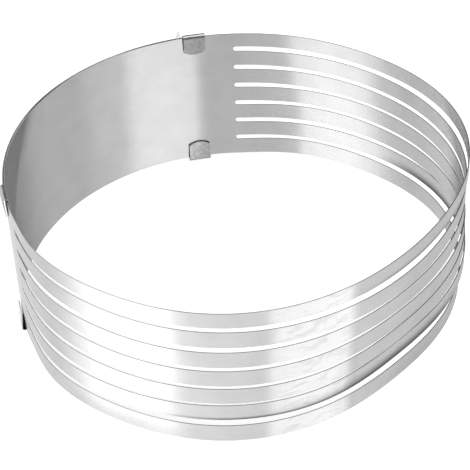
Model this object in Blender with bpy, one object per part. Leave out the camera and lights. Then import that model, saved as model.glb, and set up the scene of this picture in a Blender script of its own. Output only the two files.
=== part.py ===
# Adjustable cake slicing ring, rolled from one long strip of stainless spring sheet.
# The strip makes more than a full turn, so its plain inner end lies inside its plain outer end.
# Clips folded from both ends hold the other layer, and the layers slide in them to change the diameter.
# Between the plain ends, long slots part the band into slicing strips that guide a knife.
# The band bends a little everywhere; here its bending is gathered at flex lines, upright axes
# at which one rigid stretch of sheet turns against the next.

import bisect
import math

import bmesh
import bpy
import numpy
from mathutils import Vector

# Driving sizes of the ring at its smallest setting, in metres
RING_DIAMETER = 0.2400
BAND_HEIGHT = 0.0850
SHEET = 0.0005
LAYER_GAP = 0.0007
SLOT_HEIGHT = 0.0030
SLOT_RISE = 0.0008
STRIP_COUNT = 7

# Centre of the plain sheet's circle. The strips spring out unevenly, so it lies a little aside,
# which leaves the whole ring standing about the origin.
RING_CENTRE = (-0.0024, 0.0022)

# Bearings along the strip, anticlockwise from +X seen from above, from the outer end inwards
OUTER_END = math.radians(97.1)
SLOTS_START = math.radians(202.0)
SLOTS_FINISH = math.radians(449.2)
INNER_END = math.radians(556.7)

# Clips, folded from the corners of both ends
CLIP_WIDTH = 0.0130
CLIP_REACH = 0.0112
CLIP_CROWN = 0.0022
FOLD_SLACK = 0.0006
CLIP_TIP_GAP = 0.0005

# Pull lug, a small pointed ear beside the upper clip of the outer end
LUG_BASE = 0.0036
LUG_LENGTH = 0.0042
LUG_FROM_CLIP = 0.0008
LUG_BEND_RADIUS = 0.0008
LUG_LEAN = math.radians(40.0)
LUG_TIP_SHARE = 0.3

# Division of the band at its flex lines
FLEX_GAP = 0.0005
COMB_ROOT = math.radians(17.0)
COMB_FINGER = math.radians(12.0)
OUTER_PANELS = 5
INNER_PANELS = 5
SPANS = 5

# How far the slicing strips spring out of the true circle, counted from the top strip down.
# Each number is a share of the reach, outward, at the same share of the way along the slots;
# the strips lie level with the plain sheet where the slots begin and finish.
SPRING_REACH = 0.0080
SPRING_PLACE_SHARES = (0.048, 0.145, 0.250, 0.355, 0.452, 0.548, 0.645, 0.742, 0.847, 0.944)
STRIP_SPRING_SHARES = (
    (0.23, 0.38, 0.56, 0.14, -0.37, -0.22, 0.39, 0.52, 0.15, 0.06),
    (0.19, 0.35, 0.52, 0.20, -0.21, -0.17, 0.27, 0.38, 0.17, 0.03),
    (0.23, 0.38, 0.55, 0.11, -0.39, -0.19, 0.27, 0.43, 0.24, 0.09),
    (0.21, 0.35, 0.48, 0.01, -0.54, -0.17, 0.38, 0.57, 0.40, 0.14),
    (0.20, 0.31, 0.36, -0.11, -0.72, -0.26, 0.49, 0.72, 0.53, 0.23),
    (0.22, 0.27, 0.17, -0.31, -0.94, -0.32, 0.64, 0.97, 0.55, 0.23),
    (0.24, 0.28, 0.31, -0.21, -0.77, -0.31, 0.36, 0.84, 0.54, 0.31),
)

# Fineness of the faceted curves
FACET_ANGLE = math.radians(2.3)
FOLD_STEPS = 7
LUG_STEPS = 2
ROUND_STEPS = 8
SMOOTH_LIMIT = math.radians(30.0)
FLAT_LIMIT = math.radians(0.5)
WELD = 0.000001

# Colour of the steel, from the light of the brushed sheet
STEEL_COLOUR = (0.60, 0.60, 0.61, 1.0)
STEEL_ROUGHNESS = 0.28

# Sizes that follow
FULL_TURN = 2.0 * math.pi
PITCH = SHEET + LAYER_GAP
OUTER_RADIUS = (RING_DIAMETER - SHEET) / 2.0
FOLD_RADIUS = PITCH + FOLD_SLACK / 2.0
FOOT = FOLD_RADIUS + SHEET / 2.0
STRIP_HEIGHT = (BAND_HEIGHT - (STRIP_COUNT - 1) * SLOT_HEIGHT) / STRIP_COUNT
STRIP_PITCH = STRIP_HEIGHT + SLOT_HEIGHT
FLAP_DRIFT = 2.0 * FOLD_RADIUS - (PITCH + SHEET + CLIP_TIP_GAP)
FLAP_LEAN = math.asin(FLAP_DRIFT / CLIP_REACH)
CLIP_FOLD_ANGLE = math.pi + FLAP_LEAN
FOLD_LENGTH = FOLD_RADIUS * CLIP_FOLD_ANGLE


def middle_radius(turn):
    # the band is a spiral that closes in by one sheet and one gap in each full turn
    return OUTER_RADIUS - PITCH * (turn - OUTER_END) / FULL_TURN


def length_at(turn):
    # length of sheet from the outer end to a bearing, along the middle of its thickness
    sweep = turn - OUTER_END
    return OUTER_RADIUS * sweep - PITCH * sweep * sweep / (2.0 * FULL_TURN)


def turn_at(length):
    # bearing of a point of the flat strip once it is rolled, the inverse of length_at
    closing = PITCH / FULL_TURN
    root = math.sqrt(OUTER_RADIUS * OUTER_RADIUS - 2.0 * closing * length)
    return OUTER_END + (OUTER_RADIUS - root) / closing


def strip_top(number):
    # height of the upper edge of a slicing strip; the slots sit a little above even spacing
    if number == 0:
        return BAND_HEIGHT
    return BAND_HEIGHT - number * STRIP_PITCH + SLOT_RISE


def strip_bottom(number):
    if number == STRIP_COUNT - 1:
        return 0.0
    return strip_top(number + 1) + SLOT_HEIGHT


def strip_of(height):
    # slicing strip that a height on the band belongs to
    down = (BAND_HEIGHT + SLOT_RISE + SLOT_HEIGHT / 2.0 - height) / STRIP_PITCH
    return min(max(int(down), 0), STRIP_COUNT - 1)


def spring_places():
    # bearings at which the shifts of the strips are given
    sweep = SLOTS_FINISH - SLOTS_START
    return [SLOTS_START + share * sweep for share in (0.0,) + SPRING_PLACE_SHARES + (1.0,)]


def smooth_slopes(places, shifts):
    # slopes of the curve that bends smoothly through all shifts and starts and ends level
    count = len(places)
    terms = numpy.eye(count)
    sums = numpy.zeros(count)
    for here in range(1, count - 1):
        before = places[here] - places[here - 1]
        after = places[here + 1] - places[here]
        terms[here, here - 1:here + 2] = 1.0 / before, 2.0 / before + 2.0 / after, 1.0 / after
        sums[here] = 3.0 * (shifts[here] - shifts[here - 1]) / before ** 2
        sums[here] += 3.0 * (shifts[here + 1] - shifts[here]) / after ** 2
    return numpy.linalg.solve(terms, sums).tolist()


def spring_curve(shares):
    # bearings, shifts and slopes of one strip
    places = spring_places()
    shifts = [0.0] + [SPRING_REACH * share for share in shares] + [0.0]
    return places, shifts, smooth_slopes(places, shifts)


SPRING_CURVES = [spring_curve(shares) for shares in STRIP_SPRING_SHARES]


def spring(turn, number):
    # outward shift of one slicing strip at a bearing
    if turn <= SLOTS_START or turn >= SLOTS_FINISH:
        return 0.0
    places, shifts, slopes = SPRING_CURVES[number % len(SPRING_CURVES)]
    after = bisect.bisect_right(places, turn)
    width = places[after] - places[after - 1]
    share = (turn - places[after - 1]) / width
    rest = 1.0 - share
    shift = shifts[after - 1] * rest * rest * (1.0 + 2.0 * share)
    shift += shifts[after] * share * share * (3.0 - 2.0 * share)
    return shift + width * share * rest * (slopes[after - 1] * rest - slopes[after] * share)


def mean_spring(turn):
    return sum(spring(turn, number) for number in range(STRIP_COUNT)) / STRIP_COUNT


def ring_point(turn, outward, height):
    # point at a bearing, shifted outward from the middle of the sheet, over the band's lower edge
    radius = middle_radius(turn) + outward
    across = RING_CENTRE[0] + radius * math.cos(turn)
    away = RING_CENTRE[1] + radius * math.sin(turn)
    return Vector((across, away, FOOT + height))


def folded(beyond, depth, side, radius, angle):
    # a tab that bends round at the band's edge: shift to the given side and rise over the edge
    bent = min(beyond / radius, angle)
    straight = beyond - radius * bent
    shift = radius * (1.0 - math.cos(bent)) + straight * math.sin(bent)
    rise = radius * math.sin(bent) + straight * math.cos(bent)
    outward = side * shift + depth * math.cos(bent)
    return outward, rise - side * depth * math.sin(bent)


def rolled(length, height, depth, bend):
    # a point of the flat blank, carried onto the rolled band; bend is (side, radius, angle) for tabs
    turn = turn_at(length)
    beyond = max(height - BAND_HEIGHT, -height)
    if bend is None or beyond <= WELD:
        return ring_point(turn, spring(turn, strip_of(height)) + depth, height)
    outward, rise = folded(beyond, depth, *bend)
    if height > 0.0:
        return ring_point(turn, outward, BAND_HEIGHT + rise)
    return ring_point(turn, outward, -rise)


def arc(centre, radius, start, finish):
    # points along an arc in the plane of the blank
    steps = range(ROUND_STEPS + 1)
    angles = [start + (finish - start) * step / ROUND_STEPS for step in steps]
    return [(centre[0] + radius * math.cos(a), centre[1] + radius * math.sin(a)) for a in angles]


def plain_outline(left, right, bottom, top):
    return [(left, bottom), (right, bottom), (right, top), (left, top)]


def comb_outline(plain_edge, slot_end, mouth):
    # sheet whose slots, round at slot_end, run out through the edge at mouth
    way = 1.0 if mouth > plain_edge else -1.0
    radius = SLOT_HEIGHT / 2.0
    points = [(plain_edge, 0.0), (mouth, 0.0)]
    for number in reversed(range(1, STRIP_COUNT)):
        middle = strip_top(number) + radius
        centre = (slot_end + way * radius, middle)
        # the round end bulges towards the plain edge, from the slot's lower side to its upper one
        half = arc(centre, radius, -math.pi / 2.0, -math.pi / 2.0 - way * math.pi)
        points.append((mouth, middle - radius))
        points.extend(half)
        points.append((mouth, middle + radius))
    points.append((mouth, BAND_HEIGHT))
    points.append((plain_edge, BAND_HEIGHT))
    return points


def clip_end(left, right, level, way):
    # free end of a clip tab: straight sides and a shallow crown, drawn from left to right
    flat = level + way * (FOLD_LENGTH + CLIP_REACH - CLIP_CROWN)
    half = (right - left) / 2.0
    radius = (half * half + CLIP_CROWN * CLIP_CROWN) / (2.0 * CLIP_CROWN)
    sweep = math.asin(half / radius)
    centre = ((left + right) / 2.0, flat + way * (CLIP_CROWN - radius))
    upright = way * math.pi / 2.0
    crown = arc(centre, radius, upright + way * sweep, upright - way * sweep)
    return [(left, level)] + crown + [(right, level)]


def end_outline(end, other, with_lug):
    # plain sheet with a clip tab above and below at its free end, and a lug beside the upper one
    way = 1.0 if other > end else -1.0
    left, right = sorted((end, end + way * CLIP_WIDTH))
    upper = clip_end(left, right, BAND_HEIGHT, 1.0)
    lower = clip_end(left, right, 0.0, -1.0)
    if with_lug:
        near = end + way * (CLIP_WIDTH + LUG_FROM_CLIP)
        lug = [(near, BAND_HEIGHT), (near + way * LUG_BASE * LUG_TIP_SHARE, BAND_HEIGHT + LUG_LENGTH)]
        lug.append((near + way * LUG_BASE, BAND_HEIGHT))
        upper.extend(lug)
    if way > 0.0:
        return lower + [(other, 0.0), (other, BAND_HEIGHT)] + upper[::-1]
    return [(other, 0.0)] + lower + upper[::-1] + [(other, BAND_HEIGHT)]


def flat_blank(name, outline):
    # the outline, filled and given the sheet's thickness
    curve = bpy.data.curves.new(name, "CURVE")
    curve.dimensions = "2D"
    curve.fill_mode = "BOTH"
    curve.extrude = SHEET / 2.0
    spline = curve.splines.new("POLY")
    spline.points.add(len(outline) - 1)
    for point, (along, up) in zip(spline.points, outline):
        point.co = (along, up, 0.0, 1.0)
    spline.use_cyclic_u = True
    holder = bpy.data.objects.new(name, curve)
    bpy.context.scene.collection.objects.link(holder)
    graph = bpy.context.evaluated_depsgraph_get()
    mesh = bpy.data.meshes.new_from_object(holder.evaluated_get(graph))
    bpy.data.objects.remove(holder)
    bpy.data.curves.remove(curve)
    mesh.name = name
    return mesh


def bend_lines(blank, cuts, axis):
    # new edges across the blank, where it will bend
    normal = Vector((1.0, 0.0, 0.0)) if axis == 0 else Vector((0.0, 1.0, 0.0))
    for cut in cuts:
        parts = blank.verts[:] + blank.edges[:] + blank.faces[:]
        bmesh.ops.bisect_plane(blank, geom=parts, dist=WELD, plane_co=normal * cut, plane_no=normal)


def spaced(start, finish, count):
    return [start + (finish - start) * step / count for step in range(1, count)]


def fold_cuts(radius, angle, steps):
    # heights of the bend lines of a tab, above and below the band
    arcs = [radius * angle * step / steps for step in range(steps + 1)]
    return [BAND_HEIGHT + length for length in arcs] + [-length for length in arcs]


def sheet_piece(name, outline, tabs=()):
    # cuts the blank, lays out its bend lines, then rolls it; tabs are (from, to, bend, steps)
    mesh = flat_blank(name, outline)
    blank = bmesh.new()
    blank.from_mesh(mesh)
    bmesh.ops.remove_doubles(blank, verts=blank.verts, dist=WELD)
    bmesh.ops.dissolve_limit(blank, angle_limit=FLAT_LIMIT, verts=blank.verts, edges=blank.edges)
    bmesh.ops.recalc_face_normals(blank, faces=blank.faces)
    start = min(along for along, up in outline)
    finish = max(along for along, up in outline)
    facets = math.ceil((turn_at(finish) - turn_at(start)) / FACET_ANGLE)
    for first, last, bend, steps in tabs:
        bend_lines(blank, fold_cuts(bend[1], bend[2], steps), 1)
    bend_lines(blank, spaced(start, finish, facets), 0)
    for vertex in blank.verts:
        along, up, depth = vertex.co
        bends = [bend for first, last, bend, steps in tabs if first - WELD <= along <= last + WELD]
        vertex.co = rolled(along, up, depth, bends[0] if bends else None)
    blank.to_mesh(mesh)
    blank.free()
    mesh.shade_smooth()
    mesh.set_sharp_from_angle(angle=SMOOTH_LIMIT)
    mesh.materials.append(sheet_steel(name))
    return mesh


def sheet_steel(name):
    # bright stainless steel, finely brushed along the strip
    steel = bpy.data.materials.new(name + "_steel")
    steel.use_nodes = True
    shader = steel.node_tree.nodes["Principled BSDF"]
    shader.inputs["Base Color"].default_value = STEEL_COLOUR
    shader.inputs["Metallic"].default_value = 1.0
    shader.inputs["Roughness"].default_value = STEEL_ROUGHNESS
    steel.diffuse_color = STEEL_COLOUR
    return steel


def sheet_between(first, last):
    # ends of a stretch of flat sheet between two bearings, half a flex gap short of each
    return length_at(first) + FLEX_GAP / 2.0, length_at(last) - FLEX_GAP / 2.0


def plain_panel(name, first, last):
    left, right = sheet_between(first, last)
    return [(name, sheet_piece(name, plain_outline(left, right, 0.0, BAND_HEIGHT)))]


def outer_comb(name, first, last):
    # end of the plain outer sheet, with the roots of the slicing strips
    left, right = sheet_between(first, last)
    return [(name, sheet_piece(name, comb_outline(left, length_at(SLOTS_START), right)))]


def inner_comb(name, first, last):
    left, right = sheet_between(first, last)
    return [(name, sheet_piece(name, comb_outline(right, length_at(SLOTS_FINISH), left)))]


def slicing_span(name, first, last):
    # one strip above the other, with the slots between them
    left, right = sheet_between(first, last)
    pieces = []
    for number in range(STRIP_COUNT):
        outline = plain_outline(left, right, strip_bottom(number), strip_top(number))
        title = "strip_{}_{}".format(number + 1, name)
        pieces.append((title, sheet_piece(title, outline)))
    return pieces


def outer_end(name, first, last):
    # free outer end: its clips fold inwards, over the inner layer
    left = length_at(first)
    right = sheet_between(first, last)[1]
    clip = (left, left + CLIP_WIDTH, (-1.0, FOLD_RADIUS, CLIP_FOLD_ANGLE), FOLD_STEPS)
    ear_start = left + CLIP_WIDTH + LUG_FROM_CLIP
    ear = (ear_start, ear_start + LUG_BASE, (1.0, LUG_BEND_RADIUS, LUG_LEAN), LUG_STEPS)
    return [(name, sheet_piece(name, end_outline(left, right, True), (clip, ear)))]


def inner_end(name, first, last):
    # free inner end: its clips fold outwards, over the outer layer
    left = sheet_between(first, last)[0]
    right = length_at(last)
    clip = (right - CLIP_WIDTH, right, (1.0, FOLD_RADIUS, CLIP_FOLD_ANGLE), FOLD_STEPS)
    return [(name, sheet_piece(name, end_outline(right, left, False), (clip,)))]


def band_stretches():
    # every rigid stretch of the band from the outer end to the inner one: name, bearings, maker
    comb_start = SLOTS_START - COMB_ROOT
    comb_finish = SLOTS_FINISH + COMB_ROOT
    finger_start = SLOTS_START + COMB_FINGER
    finger_finish = SLOTS_FINISH - COMB_FINGER
    outer = [OUTER_END] + spaced(OUTER_END, comb_start, OUTER_PANELS) + [comb_start]
    spans = [finger_start] + spaced(finger_start, finger_finish, SPANS) + [finger_finish]
    inner = [comb_finish] + spaced(comb_finish, INNER_END, INNER_PANELS) + [INNER_END]
    stretches = [("outer_end_panel", outer[0], outer[1], outer_end)]
    for number in range(1, OUTER_PANELS):
        stretches.append(("outer_panel_{}".format(number), outer[number], outer[number + 1], plain_panel))
    stretches.append(("outer_comb", comb_start, finger_start, outer_comb))
    for number in range(SPANS):
        stretches.append(("span_{}".format(number + 1), spans[number], spans[number + 1], slicing_span))
    stretches.append(("inner_comb", finger_finish, comb_finish, inner_comb))
    for number in range(INNER_PANELS - 1):
        title = "inner_panel_{}".format(INNER_PANELS - 1 - number)
        stretches.append((title, inner[number], inner[number + 1], plain_panel))
    stretches.append(("inner_end_panel", inner[-2], inner[-1], inner_end))
    return stretches


def add_holder(name, place, carrier, collection):
    # empty on a joint's axis, carried by the empty of the stretch next to it
    holder = bpy.data.objects.new(name, None)
    collection.objects.link(holder)
    holder.empty_display_size = SLOT_HEIGHT
    holder.parent = carrier
    start = Vector((0.0, 0.0, 0.0)) if carrier is None else Vector(carrier["axis_place"])
    holder.location = place - start
    holder["axis_place"] = place[:]
    return holder


def add_pieces(pieces, holder, collection):
    for name, mesh in pieces:
        for vertex in mesh.vertices:
            vertex.co -= Vector(holder["axis_place"])
        piece = bpy.data.objects.new(name, mesh)
        piece.parent = holder
        collection.objects.link(piece)


def build_ring():
    collection = bpy.data.collections.new("cake_slicing_ring")
    bpy.context.scene.collection.children.link(collection)
    stretches = band_stretches()
    middle = OUTER_PANELS + 1 + SPANS // 2
    holders = {}
    holders[middle] = add_holder("band_middle", Vector((0.0, 0.0, 0.0)), None, collection)
    # outwards from the middle span, each stretch hangs on the flex line that joins it to the last
    inward = [(number, number - 1, 1) for number in range(middle + 1, len(stretches))]
    outward = [(number, number + 1, 2) for number in range(middle - 1, -1, -1)]
    for number, neighbour, edge in inward + outward:
        stretch = stretches[number]
        turn = stretch[edge]
        place = ring_point(turn, mean_spring(turn), 0.0)
        title = "flex_line_" + stretch[0]
        holders[number] = add_holder(title, place, holders[neighbour], collection)
    for number, (name, first, last, maker) in enumerate(stretches):
        add_pieces(maker(name, first, last), holders[number], collection)


for leftover in list(bpy.data.objects):
    bpy.data.objects.remove(leftover)
build_ring()
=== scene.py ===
import bisect
import math

import bmesh
import bpy
import numpy
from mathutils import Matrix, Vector


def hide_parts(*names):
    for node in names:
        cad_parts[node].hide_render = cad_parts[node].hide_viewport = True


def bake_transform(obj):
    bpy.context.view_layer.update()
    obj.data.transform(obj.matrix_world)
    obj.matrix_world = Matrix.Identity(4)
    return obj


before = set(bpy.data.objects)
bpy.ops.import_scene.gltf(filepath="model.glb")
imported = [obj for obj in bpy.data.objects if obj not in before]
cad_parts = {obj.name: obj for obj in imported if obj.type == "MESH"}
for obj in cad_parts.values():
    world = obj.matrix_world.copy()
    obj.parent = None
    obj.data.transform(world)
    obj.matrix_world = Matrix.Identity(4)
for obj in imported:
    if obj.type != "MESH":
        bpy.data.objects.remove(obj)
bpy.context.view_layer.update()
print("ring: frame loaded,", len(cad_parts), "nodes of sheet")

# Adjustable cake slicing ring: one strip of stainless spring sheet, rolled a little more than
# a full turn. The sheet is laid out flat, slotted, given its thickness and soft edges, then
# rolled and folded, and cut in the middle of each stretch so that it can bend as it opens.


def linearColour(hexText):
    # sRGB hex to the linear values that shaders take
    channels = [int(hexText[place:place + 2], 16) / 255 for place in (1, 3, 5)]
    linear = [c / 12.92 if c <= 0.04045 else ((c + 0.055) / 1.055) ** 2.4 for c in channels]
    return (*linear, 1.0)


def addNode(tree, kind, settings=None, values=None, links=None):
    # one node with its settings, socket values and incoming links
    node = tree.nodes.new(kind)
    for name, value in (settings or {}).items():
        setattr(node, name, value)
    for name, value in (values or {}).items():
        node.inputs[name].default_value = value
    for name, source in (links or {}).items():
        tree.links.new(source, node.inputs[name])
    return node


# kinds and settings that many nodes share; where sockets go by number, math and shader nodes count
# theirs from 0, and a mix node has its share at 0, its numbers at 2 and 3 and its colours at 6 and
# 7, and gives a number at 0 and a colour at 2
arithmetic = "ShaderNodeMath"
colourRamp = "ShaderNodeValToRGB"
mapRange = "ShaderNodeMapRange"
mixing = "ShaderNodeMix"
noiseTexture = "ShaderNodeTexNoise"
separate = "ShaderNodeSeparateXYZ"
multiply = {"operation": "MULTIPLY"}
subtract = {"operation": "SUBTRACT"}
isGreater = {"operation": "GREATER_THAN"}
smoothly = {"interpolation_type": "SMOOTHSTEP"}
ofNumbers = {"data_type": "FLOAT"}
ofColours = {"data_type": "RGBA"}
timesColour = {"data_type": "RGBA", "blend_type": "MULTIPLY"}

# the ring at its smallest setting, metres, and bearings along the strip in degrees
ring = {
    "diameter": 0.2400,
    "height": 0.0850,
    "sheet": 0.0005,
    "layerGap": 0.0004,  # the real layers nearly touch; the CAD solids keep 0.7 mm to slide past
    "slotHeight": 0.0030,
    "slotRise": 0.0008,
    "strips": 7,
    "centre": (-0.0024, 0.0022),  # of the plain circle, as the ring with its strips stands mid-frame
    "outerEnd": 97.1,
    "slotsStart": 202.0,
    "slotsFinish": 449.2,
    "innerEnd": 556.7,
    "edgeRounding": 0.00012,
    "edgeDegrees": 50.0,  # corners sharper than this are rounded
    "stepDegrees": 1.0,
    "cellsPerStrip": 2,
    "arcSteps": 6,
    "hair": 1e-7,  # lengths below this count as nothing
    "merging": 1e-6,  # points nearer than this become one
    "broadside": 0.99,  # upright share of a face's direction from which it is one of the two sides
}

# clips folded from the corners of both ends
clip = {
    "width": 0.0130,
    "reach": 0.0112,
    "crown": 0.0022,
    "foldRadius": 0.0015,
    "tipGap": 0.0005,
    "foldSteps": 14,
    "flapSteps": 5,
    "columns": 12,
}

# pointed lug beside the upper clip of the outer end
lug = {
    "base": 0.0036,
    "length": 0.0042,
    "fromClip": 0.0008,
    "bendRadius": 0.0008,
    "leanDegrees": 40.0,
    "tipShare": 0.3,
    "tipWidth": 0.0005,
    "tipArch": 0.00025,
    "columns": 4,
    "rows": 7,
}

# how far each slicing strip, counted from the top, springs out of the true circle: shares of the
# reach, outward, at shares of the way along the slots, rounded from a fit to the strips' edges
spring = {
    "reach": 0.0080,
    "placeShares": (0.048, 0.145, 0.250, 0.355, 0.452, 0.548, 0.645, 0.742, 0.847, 0.944),
    "stripShares": (
        (0.23, 0.38, 0.56, 0.14, -0.37, -0.22, 0.39, 0.52, 0.15, 0.06),
        (0.19, 0.35, 0.52, 0.20, -0.21, -0.17, 0.27, 0.38, 0.17, 0.03),
        (0.23, 0.38, 0.55, 0.11, -0.39, -0.19, 0.27, 0.43, 0.24, 0.09),
        (0.21, 0.35, 0.48, 0.01, -0.54, -0.17, 0.38, 0.57, 0.40, 0.14),
        (0.20, 0.31, 0.36, -0.11, -0.72, -0.26, 0.49, 0.72, 0.53, 0.23),
        (0.22, 0.27, 0.17, -0.31, -0.94, -0.32, 0.64, 0.97, 0.55, 0.23),
        (0.24, 0.28, 0.31, -0.21, -0.77, -0.31, 0.36, 0.84, 0.54, 0.31),
    ),
}

# flex lines that part the band into its rigid stretches
flex = {
    "combRoot": 17.0,
    "combFinger": 12.0,
    "outerPanels": 5,
    "spans": 5,
    "innerPanels": 5,
}

pitch = ring["sheet"] + ring["layerGap"]
outerRadius = (ring["diameter"] - ring["sheet"]) / 2
foldRadius = clip["foldRadius"]
foot = foldRadius + ring["sheet"] / 2
stripHeight = (ring["height"] - (ring["strips"] - 1) * ring["slotHeight"]) / ring["strips"]
stripPitch = stripHeight + ring["slotHeight"]
flapLean = math.asin((2 * foldRadius - pitch - ring["sheet"] - clip["tipGap"]) / clip["reach"])
foldAngle = math.pi + flapLean
foldLength = foldRadius * foldAngle
startTurn = math.radians(ring["outerEnd"])
closing = pitch / math.tau


def middleRadius(turn):
    # the strip closes in by one sheet and one gap in each full turn
    return outerRadius - closing * (turn - startTurn)


def lengthAt(turn):
    sweep = turn - startTurn
    return outerRadius * sweep - closing * sweep * sweep / 2


def turnAt(length):
    return startTurn + (outerRadius - math.sqrt(outerRadius ** 2 - 2 * closing * length)) / closing


def lengthAtDegrees(degrees):
    return lengthAt(math.radians(degrees))


def stripTop(number):
    # the slots sit a little above even spacing
    return ring["height"] - number * stripPitch + (ring["slotRise"] if number else 0.0)


def stripBottom(number):
    return stripTop(number + 1) + ring["slotHeight"] if number < ring["strips"] - 1 else 0.0


def stripAt(up):
    # number of the strip at this height of the sheet, each reaching to the middle of its slots
    fromTop = ring["height"] + ring["slotRise"] + ring["slotHeight"] / 2 - up
    return min(max(int(fromTop / stripPitch), 0), ring["strips"] - 1)


def springCurve(shares):
    # bearings, shifts and slopes of the curve that bends smoothly through all shifts of one strip
    sweep = ring["slotsFinish"] - ring["slotsStart"]
    wayShares = (0.0, *spring["placeShares"], 1.0)
    places = [math.radians(ring["slotsStart"] + share * sweep) for share in wayShares]
    shifts = [0.0] + [spring["reach"] * share for share in shares] + [0.0]
    terms = numpy.eye(len(places))
    sums = numpy.zeros(len(places))
    for here in range(1, len(places) - 1):
        before = places[here] - places[here - 1]
        after = places[here + 1] - places[here]
        terms[here, here - 1:here + 2] = 1 / before, 2 / before + 2 / after, 1 / after
        sums[here] = 3 * (shifts[here] - shifts[here - 1]) / before ** 2
        sums[here] += 3 * (shifts[here + 1] - shifts[here]) / after ** 2
    return places, shifts, numpy.linalg.solve(terms, sums).tolist()


springCurves = [springCurve(shares) for shares in spring["stripShares"]]


def springOf(turn, number):
    # outward shift of one strip at a bearing
    places, shifts, slopes = springCurves[number]
    if not places[0] < turn < places[-1]:
        return 0.0
    after = bisect.bisect_right(places, turn)
    width = places[after] - places[after - 1]
    share = (turn - places[after - 1]) / width
    rest = 1 - share
    shift = shifts[after - 1] * rest ** 2 * (1 + 2 * share)
    shift += shifts[after] * share ** 2 * (3 - 2 * share)
    return shift + width * share * rest * (slopes[after - 1] * rest - slopes[after] * share)


def ringPoint(turn, outward, height):
    radius = middleRadius(turn) + outward
    across, away = ring["centre"]
    return Vector((across + radius * math.cos(turn), away + radius * math.sin(turn), foot + height))


def folded(beyond, depth, side, radius, angle):
    # a tab bent round at the edge: shift to its side, and rise over the edge
    bent = min(beyond / radius, angle)
    straight = beyond - radius * bent
    shift = radius * (1 - math.cos(bent)) + straight * math.sin(bent)
    rise = radius * math.sin(bent) + straight * math.cos(bent)
    return side * shift + depth * math.cos(bent), rise - side * depth * math.sin(bent)


fullLength = lengthAtDegrees(ring["innerEnd"])
lugStart = clip["width"] + lug["fromClip"]


def bendAt(along):
    # side, radius and angle of the fold at this place of the strip
    if along < clip["width"] + lug["fromClip"] / 2:
        return -1.0, foldRadius, foldAngle
    if along > fullLength - clip["width"] - lug["fromClip"]:
        return 1.0, foldRadius, foldAngle
    return 1.0, lug["bendRadius"], math.radians(lug["leanDegrees"])


def rolled(along, up, depth):
    # a point of the flat blank carried onto the rolled and folded ring
    turn = turnAt(along)
    beyond = max(up - ring["height"], -up)
    if beyond <= ring["hair"]:
        return ringPoint(turn, springOf(turn, stripAt(up)) + depth, up)
    outward, rise = folded(beyond, depth, *bendAt(along))
    return ringPoint(turn, outward, ring["height"] + rise if up > 0 else -rise)


def spaced(start, finish, count):
    return [start + (finish - start) * step / count for step in range(count + 1)]


def stretchEnds():
    # bearings of the flex lines in degrees, from the outer end to the inner one
    combStart = ring["slotsStart"] - flex["combRoot"]
    combFinish = ring["slotsFinish"] + flex["combRoot"]
    firstSpan = ring["slotsStart"] + flex["combFinger"]
    lastSpan = ring["slotsFinish"] - flex["combFinger"]
    ends = spaced(ring["outerEnd"], combStart, flex["outerPanels"])
    ends += spaced(firstSpan, lastSpan, flex["spans"])
    ends += spaced(combFinish, ring["innerEnd"], flex["innerPanels"])
    return ends


def slotHalf(along):
    # half the opening of the slots at this place: nothing in the plain sheet, round at both ends
    radius = ring["slotHeight"] / 2
    fromStart = along - lengthAtDegrees(ring["slotsStart"])
    toFinish = lengthAtDegrees(ring["slotsFinish"]) - along
    inside = min(fromStart, toFinish)
    if inside <= ring["hair"]:
        return 0.0
    if inside >= radius:
        return radius
    return math.sqrt(radius ** 2 - (radius - inside) ** 2)


def stations(seams):
    # places along the strip where the blank gets a cross line
    radius = ring["slotHeight"] / 2
    firstTip = lengthAtDegrees(ring["slotsStart"])
    lastTip = lengthAtDegrees(ring["slotsFinish"])
    curve = [radius * (1 - math.cos(arc)) for arc in spaced(0.0, math.pi / 2, ring["arcSteps"])]
    fixed = spaced(0.0, clip["width"], clip["columns"])
    fixed += [fullLength - place for place in fixed]
    fixed += [lugStart + place for place in spaced(0.0, lug["base"], lug["columns"])]
    fixed += [firstTip + place for place in curve]
    fixed += [lastTip - place for place in curve]
    fixed = sorted(fixed + list(seams))
    places = [fixed[0]]
    step = outerRadius * math.radians(ring["stepDegrees"])
    for here, there in zip(fixed, fixed[1:]):
        if there - here > ring["hair"]:
            places += spaced(here, there, max(1, round((there - here) / step)))[1:]
    return places


def addPatch(blank, lines):
    # a grid of quads between lines of equally many points
    grid = [[blank.verts.new((along, up, 0.0)) for along, up in line] for line in lines]
    for lower, upper in zip(grid, grid[1:]):
        for number in range(len(lower) - 1):
            blank.faces.new((lower[number], lower[number + 1], upper[number + 1], upper[number]))


def addStrips(blank, places):
    # the band: seven strips that meet in the plain sheet and part along the slots
    for number in range(ring["strips"]):
        lows, highs = [], []
        for along in places:
            shut = ring["slotHeight"] / 2 - slotHalf(along)
            highs.append(stripTop(number) + (shut if number else 0.0))
            lows.append(stripBottom(number) - (shut if number < ring["strips"] - 1 else 0.0))
        lines = []
        for share in spaced(0.0, 1.0, ring["cellsPerStrip"]):
            ups = [low + (high - low) * share for low, high in zip(lows, highs)]
            lines.append(list(zip(places, ups)))
        addPatch(blank, lines)


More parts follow.
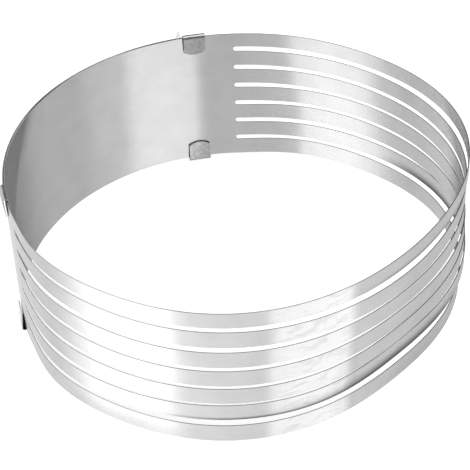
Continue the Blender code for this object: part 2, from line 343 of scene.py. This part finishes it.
def addClips(blank, places):
    # a tab at the upper and lower corner of both ends, with its flap's edge arched
    half = clip["width"] / 2
    crownRadius = (half ** 2 + clip["crown"] ** 2) / (2 * clip["crown"])
    hair = ring["hair"]
    for start in (0.0, fullLength - clip["width"]):
        columns = [along for along in places if start - hair <= along <= start + clip["width"] + hair]
        folds = spaced(0.0, foldLength, clip["foldSteps"])
        for edge, way in ((ring["height"], 1.0), (0.0, -1.0)):
            lines = [[(along, edge + way * fold) for along in columns] for fold in folds]
            for share in spaced(0.0, 1.0, clip["flapSteps"])[1:]:
                line = []
                for along in columns:
                    arch = math.sqrt(crownRadius ** 2 - (along - start - half) ** 2) - crownRadius
                    line.append((along, edge + way * (foldLength + (clip["reach"] + arch) * share)))
                lines.append(line)
            addPatch(blank, lines)


def addLug(blank):
    # a leaning point with a rounded tip
    halfTip = lug["tipWidth"] / 2
    lines = []
    for share in spaced(0.0, 1.0, lug["rows"]):
        left = lugStart + (lug["base"] * lug["tipShare"] - halfTip) * share
        right = lugStart + lug["base"] + (lug["base"] * (lug["tipShare"] - 1) + halfTip) * share
        line = []
        for across in spaced(0.0, 1.0, lug["columns"]):
            arch = lug["tipArch"] * (2 * across - 1) ** 2 * share ** 3
            line.append((left + (right - left) * across, ring["height"] + lug["length"] * share - arch))
        lines.append(line)
    addPatch(blank, lines)


def flatBlank(seams):
    # the whole strip as it leaves the press, before it gets its thickness
    blank = bmesh.new()
    places = stations(seams)
    addStrips(blank, places)
    addClips(blank, places)
    addLug(blank)
    bmesh.ops.remove_doubles(blank, verts=blank.verts, dist=ring["merging"])
    bmesh.ops.recalc_face_normals(blank, faces=blank.faces)
    if sum(face.normal.z for face in blank.faces) < 0:
        bmesh.ops.reverse_faces(blank, faces=blank.faces)
    return blank


def thickSheet(seams):
    # thickness and soft sheared edges, made while the sheet is still flat
    flat = flatBlank(seams)
    mesh = bpy.data.meshes.new("flatSheet")
    flat.to_mesh(mesh)
    flat.free()
    holder = bpy.data.objects.new("flatSheet", mesh)
    bpy.context.scene.collection.objects.link(holder)
    solid = holder.modifiers.new("thickness", "SOLIDIFY")
    solid.thickness = ring["sheet"]
    solid.offset = 0.0
    soft = holder.modifiers.new("softEdge", "BEVEL")
    soft.width = ring["edgeRounding"]
    soft.segments = 1
    soft.limit_method = "ANGLE"
    soft.angle_limit = math.radians(ring["edgeDegrees"])
    graph = bpy.context.evaluated_depsgraph_get()
    thick = bpy.data.meshes.new_from_object(holder.evaluated_get(graph))
    bpy.data.objects.remove(holder)
    bpy.data.meshes.remove(mesh)
    return thick


# material slots of the sheet
outerSide, innerSide, cutEdge = 0, 1, 2


def ringMesh(seams):
    # the flat sheet is unwrapped in real metres, then rolled
    mesh = thickSheet(seams)
    sheet = bmesh.new()
    sheet.from_mesh(mesh)
    bpy.data.meshes.remove(mesh)
    sheet.normal_update()
    flatMap = sheet.loops.layers.uv.new("flatSheet")
    for face in sheet.faces:
        face.smooth = True
        face.material_index = cutEdge
        if abs(face.normal.z) > ring["broadside"]:
            face.material_index = outerSide if face.normal.z > 0 else innerSide
        for loop in face.loops:
            along, up, depth = loop.vert.co
            # the cut edge is laid out past the side's outline, by its depth in the sheet
            slip = depth if face.material_index == cutEdge else 0.0
            loop[flatMap].uv = (along + slip * face.normal.x, up + slip * face.normal.y)
    for edge in sheet.edges:
        if len({face.material_index == cutEdge for face in edge.link_faces}) > 1:
            edge.smooth = False
    for vertex in sheet.verts:
        vertex.co = rolled(*vertex.co)
    whole = bpy.data.meshes.new("wholeRing")
    sheet.to_mesh(whole)
    sheet.free()
    return whole


def cutPiece(whole, name, first, last):
    # the part of the ring between two places, closed at its cuts, with the ring's own shading
    flatMap = whole.uv_layers["flatSheet"].data
    kept = []
    for face in whole.polygons:
        middle = sum(flatMap[corner].uv.x for corner in face.loop_indices) / face.loop_total
        if first < middle < last:
            kept.append(face)
    numbers = {}
    for face in kept:
        for vertex in face.vertices:
            numbers.setdefault(vertex, len(numbers))
    faces = [[numbers[vertex] for vertex in face.vertices] for face in kept]
    ways = {pair for face in faces for pair in zip(face, face[1:] + face[:1])}
    onward = {there: here for here, there in ways if (there, here) not in ways}
    caps = []
    while onward:
        here = next(iter(onward))
        cap = []
        while here in onward:
            cap.append(here)
            here = onward.pop(here)
        caps.append(cap)
    mesh = bpy.data.meshes.new(name)
    mesh.from_pydata([whole.vertices[vertex].co for vertex in numbers], [], faces + caps)
    spread = mesh.uv_layers.new(name="flatSheet").data
    shading = []
    for face, here in zip(kept, mesh.polygons):
        here.material_index = face.material_index
        for corner, own in zip(face.loop_indices, here.loop_indices):
            spread[own].uv = flatMap[corner].uv
            shading.append(whole.corner_normals[corner].vector[:])
    mesh.polygons.foreach_set("use_smooth", [True] * len(kept) + [False] * len(caps))
    for cap in mesh.polygons[len(kept):]:
        cap.material_index = cutEdge
        shading += [(0.0, 0.0, 0.0)] * cap.loop_total
    mesh.normals_split_custom_set(shading)
    return mesh


def setStops(ramp, stops):
    # grey levels of a colour ramp at their places
    while len(ramp.elements) > 1:
        ramp.elements.remove(ramp.elements[0])
    for number, (place, level) in enumerate(stops):
        stop = ramp.elements[0] if number == 0 else ramp.elements.new(place)
        stop.position = place
        stop.color = (level, level, level, 1)


def levelsAlong(tree, along, levels):
    # level by bearing along the strip, straight between the bearings in degrees that are given
    first, last = (lengthAtDegrees(levels[place][0]) for place in (0, -1))
    share = addNode(tree, mapRange, None, {"From Min": first, "From Max": last}, {"Value": along})
    ramp = addNode(tree, colourRamp, None, None, {"Fac": share.outputs["Result"]})
    stops = [((lengthAtDegrees(degrees) - first) / (last - first), level) for degrees, level in levels]
    setStops(ramp.color_ramp, stops)
    return ramp.outputs["Color"]


def shareBetween(tree, along, bearings):
    # grows from 0 to 1 between the first two bearings, and fades between the last two
    begin, full, ebb, done = (lengthAtDegrees(bearing) for bearing in bearings)
    grows = addNode(tree, mapRange, smoothly, {"From Min": begin, "From Max": full}, {"Value": along})
    fades = addNode(
        tree, mapRange, smoothly, {"From Min": ebb, "From Max": done, "To Min": 1.0, "To Max": 0.0},
        {"Value": along})
    both = addNode(
        tree, arithmetic, multiply, None, {0: grows.outputs["Result"], 1: fades.outputs["Result"]})
    return both.outputs["Value"]


def darkened(tree, tone, share):
    # the tone without this share of it
    rest = addNode(tree, arithmetic, subtract, {0: 1.0}, {1: share})
    return addNode(tree, arithmetic, multiply, None, {0: tone, 1: rest.outputs["Value"]}).outputs["Value"]


# tones along the tabs of the outer end, from the band's edge over the fold to the tip of the flap: a
# painted highlight on the crest of the fold, painted shade on its flanks and flap, which is mottled; the
# inner end's flaps get a painted highlight, and painted shadow where no light comes back out of the folds
tabs = {
    "upper": (
        (0.00, 1.0), (0.05, 1.0), (0.065, 0.07), (0.158, 0.08), (0.17, 1.38), (0.212, 1.38),
        (0.228, 0.12), (0.27, 0.18), (0.30, 0.44), (0.90, 0.44), (1.00, 0.36)),
    "lower": ((0.00, 1.0), (0.17, 0.9), (0.205, 0.28), (0.24, 0.32), (0.28, 0.58), (1.00, 0.70)),
    "begins": 0.02,
    "innerEnd": 1.55,
    "pocket": 0.12,
    "freeEdgeMm": 5.0,
    "freeEdgeTone": 1.25,
    "mottleMm": 2.2,
    "mottleNoise": (0.35, 0.65),
    "mottle": (0.87, 1.13),
}


def tabMottleAndPaintedLight(tree, along, up, isOuterSide):
    # tone of the clips, painted highlight, shade and shadow with a mottle; the plain band and the lug keep 1
    half = ring["height"] / 2
    offMiddle = addNode(tree, arithmetic, subtract, {1: half}, {0: up})
    distance = addNode(tree, arithmetic, {"operation": "ABSOLUTE"}, None, {0: offMiddle.outputs["Value"]})
    beyond = addNode(
        tree, mapRange, None, {"From Min": half, "From Max": half + foldLength + clip["reach"]},
        {"Value": distance.outputs["Value"]}).outputs["Result"]
    toInner = addNode(tree, arithmetic, subtract, {0: fullLength}, {1: along})
    fromEnd = addNode(
        tree, arithmetic, {"operation": "MINIMUM"}, None,
        {0: along, 1: toInner.outputs["Value"]}).outputs["Value"]
    isInnerEnd = addNode(tree, arithmetic, isGreater, {1: fullLength / 2}, {0: along}).outputs["Value"]
    if isOuterSide:
        # painted highlight on the crest of the fold and painted shade on its flanks and flap, across the tab
        upper = addNode(tree, colourRamp, None, None, {"Fac": beyond})
        setStops(upper.color_ramp, tabs["upper"])
        lower = addNode(tree, colourRamp, None, None, {"Fac": beyond})
        setStops(lower.color_ramp, tabs["lower"])
        # the upper flap gets lighter towards the strip's free end
        lighterNearEnd = addNode(
            tree, mapRange, None,
            {"From Max": tabs["freeEdgeMm"] / 1000, "To Min": tabs["freeEdgeTone"], "To Max": 1.0},
            {"Value": fromEnd})
        upperTone = addNode(
            tree, arithmetic, multiply, None, {0: upper.outputs["Color"], 1: lighterNearEnd.outputs["Result"]})
        isUpper = addNode(tree, arithmetic, isGreater, {1: half}, {0: up})
        outerEnd = addNode(
            tree, mixing, ofNumbers, None,
            {0: isUpper.outputs["Value"], 2: lower.outputs["Color"], 3: upperTone.outputs["Value"]})
        # the inner end's tabs get painted shadow, for the dark pocket inside their folds
        ends = addNode(
            tree, mixing, ofNumbers, {3: tabs["pocket"]}, {0: isInnerEnd, 2: outerEnd.outputs[0]})
    else:
        # painted shadow for the pocket at the outer end, and a painted highlight on the inner end's flaps
        ends = addNode(
            tree, mixing, ofNumbers, {2: tabs["pocket"], 3: tabs["innerEnd"]}, {0: isInnerEnd})
    place = addNode(tree, "ShaderNodeCombineXYZ", None, None, {"X": along, "Y": up})
    spots = addNode(
        tree, noiseTexture, None, {"Scale": 1000 / tabs["mottleMm"], "Detail": 2.0},
        {"Vector": place.outputs["Vector"]})
    low, high = tabs["mottleNoise"]
    dullest, brightest = tabs["mottle"]
    mottle = addNode(
        tree, mapRange, None,
        {"From Min": low, "From Max": high, "To Min": dullest, "To Max": brightest},
        {"Value": spots.outputs["Fac"]})
    mottledPaintedLight = addNode(
        tree, arithmetic, multiply, None, {0: ends.outputs[0], 1: mottle.outputs["Result"]})
    isTab = addNode(tree, arithmetic, isGreater, {1: tabs["begins"]}, {0: beyond})
    clipLimit = clip["width"] + lug["fromClip"] / 2
    isNear = addNode(tree, arithmetic, {"operation": "LESS_THAN"}, {1: clipLimit}, {0: fromEnd})
    isClip = addNode(
        tree, arithmetic, multiply, None, {0: isTab.outputs["Value"], 1: isNear.outputs["Value"]})
    return addNode(
        tree, mixing, ofNumbers, {2: 1.0},
        {0: isClip.outputs["Value"], 3: mottledPaintedLight.outputs["Value"]}).outputs[0]


# painted shade, standing in for the mirror of a darker part of the room where the steel leans a little:
# number of the strip from the top, bearings between which the painted shade grows and fades, height in mm
# above the strip's lower edge at which it is gone, and its depth; the inner side's last reaches over the
# whole sheet
wholeSheetMm = 900.0
fallPower = 2.0  # makes each shade fall off steeply
outerShades = (
    (5, (264, 316, 332, 350), 9.5, 0.86),
    (5, (244, 270, 296, 320), 2.8, 0.85),
    (0, (296, 314, 330, 345), 3.5, 0.55),
    (6, (220, 232, 246, 262), 16.0, 0.24),
    (6, (298, 318, 352, 372), 25.0, 0.16))
innerShades = (
    (5, (350, 368, 388, 408), 8.5, 0.86),
    (6, (420, 437, 456, 462), wholeSheetMm, 0.17))


def paintedEdgeShade(tree, along, up, tone, shade):
    # paints shade on the lower edge of one strip, steeply falling off upwards
    number, bearings, heightMm, depth = shade
    lowEdge = stripBottom(number)
    falls = addNode(
        tree, mapRange, smoothly,
        {"From Min": lowEdge, "From Max": lowEdge + heightMm / 1000, "To Min": 1.0, "To Max": 0.0},
        {"Value": up})
    steep = addNode(tree, arithmetic, {"operation": "POWER"}, {1: fallPower}, {0: falls.outputs["Result"]})
    slotMiddle = lowEdge - ring["slotHeight"] / 2
    isOnStrip = addNode(tree, arithmetic, isGreater, {1: slotMiddle}, {0: up})
    here = addNode(
        tree, arithmetic, multiply, None,
        {0: isOnStrip.outputs["Value"], 1: shareBetween(tree, along, bearings)})
    deep = addNode(tree, arithmetic, multiply, {1: depth}, {0: here.outputs["Value"]})
    dark = addNode(
        tree, arithmetic, multiply, None, {0: deep.outputs["Value"], 1: steep.outputs["Value"]})
    return darkened(tree, tone, dark.outputs["Value"])


# painted shade at the slanting dark end of the inner side, for a dark part of the room it mirrors: bearings
# at the lower edge where it grows, and its depth
endShade = {"bearings": (559.7, 563.7), "slant": 1.05, "depth": 0.40}


def paintedEndShade(tree, along, up, tone):
    # paints shade on the inner end of the strip behind a slanting line
    slanted = addNode(
        tree, arithmetic, {"operation": "MULTIPLY_ADD"}, {1: endShade["slant"]}, {0: up, 2: along})
    begin, full = (lengthAtDegrees(bearing) for bearing in endShade["bearings"])
    dark = addNode(
        tree, mapRange, smoothly, {"From Min": begin, "From Max": full, "To Max": endShade["depth"]},
        {"Value": slanted.outputs["Value"]})
    return darkened(tree, tone, dark.outputs["Result"])


# smears of the wiping cloth on the outer side, between bearings where they grow and fade
smears = {
    "bearings": (274, 284, 292, 299),
    "lengthMm": 12.0,
    "heightMm": 5.5,
    "swirl": 0.8,
    "noise": (0.46, 0.66),
    "depth": 0.13,
}


def smearTone(tree, sheetMap, along, tone):
    # dulls the mirrored card in patches
    size = (1000 / smears["lengthMm"], 1000 / smears["heightMm"], 1.0)
    patches = addNode(tree, "ShaderNodeMapping", None, {"Scale": size}, {"Vector": sheetMap})
    noise = addNode(
        tree, noiseTexture, None, {"Scale": 1.0, "Detail": 3.0, "Distortion": smears["swirl"]},
        {"Vector": patches.outputs["Vector"]})
    low, high = smears["noise"]
    dull = addNode(
        tree, mapRange, smoothly, {"From Min": low, "From Max": high, "To Max": smears["depth"]},
        {"Value": noise.outputs["Fac"]})
    here = shareBetween(tree, along, smears["bearings"])
    dark = addNode(tree, arithmetic, multiply, None, {0: here, 1: dull.outputs["Result"]})
    return darkened(tree, tone, dark.outputs["Value"])


# the end of the lit card stands in the outer side as a sharp step, which the spread of the brushed
# surface would soften: a painted highlight before it and painted shade after it, as tones by bearing
cardStep = (
    (284, 1.0), (290, 1.03), (293, 1.09), (295.3, 1.16), (297.2, 0.94), (298.3, 0.88), (300, 0.92),
    (306, 0.95), (313, 1.0))


def brushedStainless(name, colour, streak, isOuterSide):
    # cold-rolled 304 stainless strip, brushed along its length with fine grit: it mirrors the room
    # as upright streaks, because each fine groove spreads the light up and down; the grooves are
    # drawn coarser than the real ones of a few hundredths of a millimetre, so that they show
    look = {
        "roughness": 0.22,
        "roughnessChange": 0.02,
        "anisotropy": 1.0,
        "acrossGrooves": 0.25,  # part of a turn, so that the spread lies across the grooves
        "grooveMm": 0.35,
        "grooveLengthMm": 60.0,
        "smudgeMm": 14.0,
        "smudgeNoise": (0.3, 0.7),
        "smudge": (0.955, 1.04),
    }
    material = bpy.data.materials.new(name)
    material.use_nodes = True
    tree = material.node_tree
    shader = tree.nodes["Principled BSDF"]
    shader.inputs["Metallic"].default_value = 1.0
    shader.inputs["Anisotropic"].default_value = look["anisotropy"]
    shader.inputs["Anisotropic Rotation"].default_value = look["acrossGrooves"]
    sheetMap = addNode(tree, "ShaderNodeUVMap", {"uv_map": "flatSheet"}).outputs["UV"]
    place = addNode(tree, separate, None, None, {"Vector": sheetMap})
    along, up = place.outputs["X"], place.outputs["Y"]
    # the map is in metres, so a scale of 1000 over a size in mm gives that size
    grooves = (1000 / look["grooveLengthMm"], 1000 / look["grooveMm"], 1.0)
    grain = addNode(tree, "ShaderNodeMapping", None, {"Scale": grooves}, {"Vector": sheetMap})
    streaks = addNode(
        tree, noiseTexture, None, {"Scale": 1.0, "Detail": 3.0, "Roughness": 0.6},
        {"Vector": grain.outputs["Vector"]})
    smudges = addNode(
        tree, noiseTexture, None, {"Scale": 1000 / look["smudgeMm"], "Detail": 3.0, "Roughness": 0.5},
        {"Vector": sheetMap})
    tint = addNode(
        tree, mixing, ofColours, {6: linearColour(colour), 7: linearColour(streak)},
        {0: streaks.outputs["Fac"]})
    low, high = look["smudgeNoise"]
    dullest, brightest = look["smudge"]
    handled = addNode(
        tree, mapRange, None,
        {"From Min": low, "From Max": high, "To Min": dullest, "To Max": brightest},
        {"Value": smudges.outputs["Fac"]})
    tone = addNode(
        tree, arithmetic, multiply, None,
        {0: handled.outputs["Result"], 1: tabMottleAndPaintedLight(tree, along, up, isOuterSide)}).outputs["Value"]
    # painted shade on the strips' lower edges, and on the inner side near the end of the slots
    for shade in outerShades if isOuterSide else innerShades:
        tone = paintedEdgeShade(tree, along, up, tone, shade)
    if isOuterSide:
        tone = smearTone(tree, sheetMap, along, tone)
        # painted reflection of the card's sharp end
        step = levelsAlong(tree, along, cardStep)
        tone = addNode(tree, arithmetic, multiply, None, {0: tone, 1: step}).outputs["Value"]
    else:
        # painted shade at the inner end
        tone = paintedEndShade(tree, along, up, tone)
    toned = addNode(tree, mixing, timesColour, {0: 1.0}, {6: tint.outputs[2], 7: tone})
    smooth = look["roughness"] - look["roughnessChange"]
    rough = look["roughness"] + look["roughnessChange"]
    dull = addNode(
        tree, mapRange, None, {"To Min": smooth, "To Max": rough}, {"Value": smudges.outputs["Fac"]})
    grainWay = addNode(tree, "ShaderNodeTangent", {"direction_type": "UV_MAP", "uv_map": "flatSheet"})
    tree.links.new(toned.outputs[2], shader.inputs["Base Color"])
    tree.links.new(dull.outputs["Result"], shader.inputs["Roughness"])
    tree.links.new(grainWay.outputs["Tangent"], shader.inputs["Tangent"])
    return material


# painted highlight: how much of the lit room the deburred edge catches, by bearing along the strip in degrees
paintedEdgeShine = (
    (97.1, 1.5), (116, 1.5), (123, 3.4), (138, 3.1), (147, 1.2), (154, 1.2), (162, 3.3), (183, 3.1),
    (190, 2.1), (205, 2.1), (225, 2.3), (248, 2.3), (256, 1.3), (298, 1.4), (304, 0.9), (340, 0.8),
    (470, 1.0), (483, 3.4), (498, 3.1), (507, 1.2), (514, 1.2), (522, 3.1), (540, 2.1), (556.7, 2.1))


def shearedEdge():
    # cut edge of the stainless strip, slit and tumbled: a thin grey line with short marks across
    # it, with a painted highlight by bearing where its roundness faces a lit card
    look = {
        "colour": "#8e8e8e",
        "mark": "#747474",
        "roughness": 0.60,
        "markMm": 0.4,
    }
    material = bpy.data.materials.new("shearedStainlessEdge")
    material.use_nodes = True
    tree = material.node_tree
    shader = tree.nodes["Principled BSDF"]
    shader.inputs["Metallic"].default_value = 1.0
    shader.inputs["Roughness"].default_value = look["roughness"]
    sheetMap = addNode(tree, "ShaderNodeUVMap", {"uv_map": "flatSheet"}).outputs["UV"]
    marks = addNode(
        tree, noiseTexture, None, {"Scale": 1000 / look["markMm"], "Detail": 2.0}, {"Vector": sheetMap})
    tint = addNode(
        tree, mixing, ofColours, {6: linearColour(look["colour"]), 7: linearColour(look["mark"])},
        {0: marks.outputs["Fac"]})
    place = addNode(tree, separate, None, None, {"Vector": sheetMap})
    # painted highlight along the edge, by bearing
    shine = levelsAlong(tree, place.outputs["X"], paintedEdgeShine)
    lit = addNode(tree, mixing, timesColour, {0: 1.0}, {6: tint.outputs[2], 7: shine})
    tree.links.new(lit.outputs[2], shader.inputs["Base Color"])
    return material


# one visual piece for each flex line, from the middle of one stretch to the middle of the next
stretches = (
    ["outer_end_panel"]
    + ["outer_panel_{}".format(number) for number in range(1, flex["outerPanels"])]
    + ["outer_comb"]
    + ["span_{}".format(number) for number in range(1, flex["spans"] + 1)]
    + ["inner_comb"]
    + ["inner_panel_{}".format(number) for number in range(flex["innerPanels"] - 1, 0, -1)]
    + ["inner_end_panel"])
pieceNames = (
    ["outerEndWithClips"]
    + ["outerSheet{}".format(number) for number in range(1, flex["outerPanels"] - 1)]
    + ["outerSheetToSlots", "slotsBegin"]
    + ["slicingStrips{}".format(number) for number in range(1, flex["spans"])]
    + ["slotsFinish", "slotsToInnerSheet"]
    + ["innerSheet{}".format(number) for number in range(flex["innerPanels"] - 2, 0, -1)]
    + ["innerEndWithClips"])


def nodesOf(stretch):
    # the CAD nodes of one stretch: a span is seven separate strips
    if stretch.startswith("span"):
        return ["strip_{}_{}".format(number, stretch) for number in range(1, ring["strips"] + 1)]
    return [stretch]


def dressRing():
    middles = [(here + there) / 2 for here, there in zip(stretchEnds(), stretchEnds()[1:])]
    seams = [lengthAtDegrees(degrees) for degrees in middles]
    whole = ringMesh(seams[1:-1])
    print("ring: rolled sheet has", len(whole.polygons), "faces")
    cuts = [-math.inf] + seams[1:-1] + [math.inf]
    # in the order of the material slots; the inner side is painted darker, as shade for the darker inside of
    # the ring that it mirrors
    finishes = (
        brushedStainless("brushedStainlessOuterSide", "#dbdbdb", "#cecece", True),
        brushedStainless("brushedStainlessInnerSide", "#d0d0d0", "#c4c4c4", False),
        shearedEdge())
    for number, name in enumerate(pieceNames):
        mesh = cutPiece(whole, name, cuts[number], cuts[number + 1])
        piece = bpy.data.objects.new(name, mesh)
        bpy.context.scene.collection.objects.link(piece)
        for finish in finishes:
            mesh.materials.append(finish)
        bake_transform(piece)
        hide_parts(*nodesOf(stretches[number]))
    # the last piece stands for the free inner end too
    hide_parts(*nodesOf(stretches[-1]))
    bpy.data.meshes.remove(whole)
    print("ring:", len(pieceNames), "bending pieces of sheet")


# plain pale table, white to the camera, that keeps a faint shadow; the steel mirrors only a share
# of it, and the tent's wall through it
table = {
    "width": 6.0,
    "colour": "#e6e6e6",
    "seenWhite": 0.55,
    "mirrored": 0.2,
}


def buildTable():
    # matt white board, its material brighter to the camera than it shines on the ring
    mesh = bpy.data.meshes.new("whiteTable")
    half = table["width"] / 2
    corners = [(-half, -half, 0), (half, -half, 0), (half, half, 0), (-half, half, 0)]
    mesh.from_pydata(corners, [], [(0, 1, 2, 3)])
    floor = bpy.data.objects.new("whiteTable", mesh)
    bpy.context.scene.collection.objects.link(floor)
    material = bpy.data.materials.new("mattWhiteTable")
    material.use_nodes = True
    tree = material.node_tree
    tree.nodes.remove(tree.nodes["Principled BSDF"])
    paint = addNode(tree, "ShaderNodeBsdfDiffuse", None, {"Color": linearColour(table["colour"])})
    path = addNode(tree, "ShaderNodeLightPath")
    white = addNode(tree, arithmetic, multiply, {1: table["seenWhite"]}, {0: path.outputs["Is Camera Ray"]})
    glow = addNode(
        tree, "ShaderNodeEmission", None, {"Color": (1, 1, 1, 1)}, {"Strength": white.outputs["Value"]})
    both = addNode(
        tree, "ShaderNodeAddShader", None, None, {0: paint.outputs["BSDF"], 1: glow.outputs["Emission"]})
    thin = addNode(tree, arithmetic, multiply, {1: 1 - table["mirrored"]}, {0: path.outputs["Is Glossy Ray"]})
    clear = addNode(tree, "ShaderNodeBsdfTransparent")
    top = addNode(
        tree, "ShaderNodeMixShader", None, None,
        {0: thin.outputs["Value"], 1: both.outputs["Shader"], 2: clear.outputs["BSDF"]})
    tree.links.new(top.outputs["Shader"], tree.nodes["Material Output"].inputs["Surface"])
    mesh.materials.append(material)


# light tent round the table: upright cards, given by bearing in degrees and brightness, are what
# the steel mirrors; the camera sees through the tent, which runs on below the table top
tent = {
    "radius": 0.75,
    "top": 1.3,
    "bottom": -1.3,
    "sides": 96,
    "brightest": 2.0,
    "cards": (
        (0, 0.78), (30, 0.80), (48, 0.72), (55, 0.50), (75, 0.38), (80, 0.20), (85, 0.05), (109, 0.06),
        (115, 0.85), (119, 1.15), (132, 1.05), (140, 0.96), (155, 0.98), (165, 0.88), (180, 1.00),
        (187, 1.12), (191, 1.40), (197, 2.00), (237, 1.98), (240, 1.28), (262, 1.10), (287.5, 1.02),
        (291, 1.55), (296, 1.60), (328.5, 1.64), (331.5, 1.12), (336, 1.00), (352, 1.02), (358, 0.82),
        (360, 0.78)),
    "ceiling": 0.9,
}


def buildTent():
    # a round wall without floor or roof
    sides = tent["sides"]
    points = []
    for height in (tent["bottom"], tent["top"]):
        for step in range(sides):
            turn = math.tau * step / sides
            points.append((tent["radius"] * math.cos(turn), tent["radius"] * math.sin(turn), height))
    walls = []
    for step in range(sides):
        following = (step + 1) % sides
        walls.append((step, sides + step, sides + following, following))
    mesh = bpy.data.meshes.new("lightTent")
    mesh.from_pydata(points, [], walls)
    wall = bpy.data.objects.new("lightTent", mesh)
    bpy.context.scene.collection.objects.link(wall)
    wall.visible_camera = False
    material = bpy.data.materials.new("whiteTentCloth")
    material.use_nodes = True
    tree = material.node_tree
    tree.nodes.remove(tree.nodes["Principled BSDF"])
    place = addNode(tree, "ShaderNodeTexCoord")
    parts = addNode(tree, separate, None, None, {"Vector": place.outputs["Object"]})
    bearing = addNode(
        tree, arithmetic, {"operation": "ARCTAN2"}, None, {0: parts.outputs["Y"], 1: parts.outputs["X"]})
    turn = addNode(
        tree, arithmetic, {"operation": "WRAP"}, {1: math.tau, 2: 0.0}, {0: bearing.outputs["Value"]})
    share = addNode(tree, arithmetic, {"operation": "DIVIDE"}, {1: math.tau}, {0: turn.outputs["Value"]})
    cards = addNode(tree, colourRamp, None, None, {"Fac": share.outputs["Value"]})
    # levels as shares of the brightest card
    stops = [(degrees / 360, level / tent["brightest"]) for degrees, level in tent["cards"]]
    setStops(cards.color_ramp, stops)
    level = addNode(tree, arithmetic, multiply, {1: tent["brightest"]}, {0: cards.outputs["Color"]})
    light = addNode(
        tree, "ShaderNodeEmission", None, {"Color": (1, 1, 1, 1)}, {"Strength": level.outputs["Value"]})
    tree.links.new(light.outputs["Emission"], tree.nodes["Material Output"].inputs["Surface"])
    mesh.materials.append(material)


def buildStudio():
    # the tent and, over it, a pale ceiling that the camera sees as white
    buildTent()
    world = bpy.data.worlds.new("softStudio")
    bpy.context.scene.world = world
    world.use_nodes = True
    tree = world.node_tree
    path = addNode(tree, "ShaderNodeLightPath")
    level = addNode(
        tree, mixing, ofNumbers, {2: tent["ceiling"], 3: 1.0}, {0: path.outputs["Is Camera Ray"]})
    tree.links.new(level.outputs[0], tree.nodes["Background"].inputs["Strength"])
    tree.nodes["Background"].inputs["Color"].default_value = (1, 1, 1, 1)


def placeCamera():
    # the photograph looks down about 38 degrees from the front, through a long lens
    view = {
        "elevation": 0.6692,
        "distance": 0.7977,
        "aimHeight": 0.04425,
        "lens": 114.04,
        "sensor": 36.0,
        "tilt": -0.0359,
        "shift": (-0.0029, -0.0361),
        "nearest": 0.01,
        "farthest": 50.0,
    }
    data = bpy.data.cameras.new("studioCamera")
    data.sensor_width = view["sensor"]
    data.lens = view["lens"]
    data.shift_x, data.shift_y = view["shift"]
    data.clip_start = view["nearest"]
    data.clip_end = view["farthest"]
    camera = bpy.data.objects.new("studioCamera", data)
    bpy.context.scene.collection.objects.link(camera)
    back = Vector((0.0, -math.cos(view["elevation"]), math.sin(view["elevation"])))
    camera.location = Vector((*ring["centre"], view["aimHeight"])) + back * view["distance"]
    camera.rotation_euler = (math.pi / 2 - view["elevation"], 0.0, 0.0)
    camera.rotation_euler.rotate_axis("Z", view["tilt"])
    bpy.context.scene.camera = camera


dressRing()
buildTable()
buildStudio()
placeCamera()
bpy.context.scene.view_settings.view_transform = "Standard"
print("ring: table, studio and camera set")
